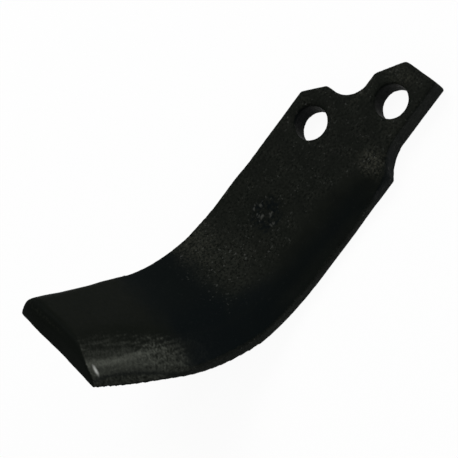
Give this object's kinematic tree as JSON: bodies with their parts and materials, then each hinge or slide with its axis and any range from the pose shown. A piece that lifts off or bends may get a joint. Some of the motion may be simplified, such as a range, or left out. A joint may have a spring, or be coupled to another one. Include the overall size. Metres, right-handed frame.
{
  "type": "rotary tiller blade",
  "caption": "Forged steel tiller blade: a two-hole shank bent up into a broad leg with a bevelled cutting edge.",
  "frame": {"origin": "on the end hole's axis, in the shank's flat back face", "axes": "+X along the shank towards the bend, +Y across to the cutting edge, +Z out of the front face, the way the leg rises"},
  "size_m": [0.1883, 0.063, 0.0885],
  "materials": {
    "forged_steel": "satin"
  },
  "bodies": {
    "root": {"blade": "forged_steel"}
  },
  "joints": []
}
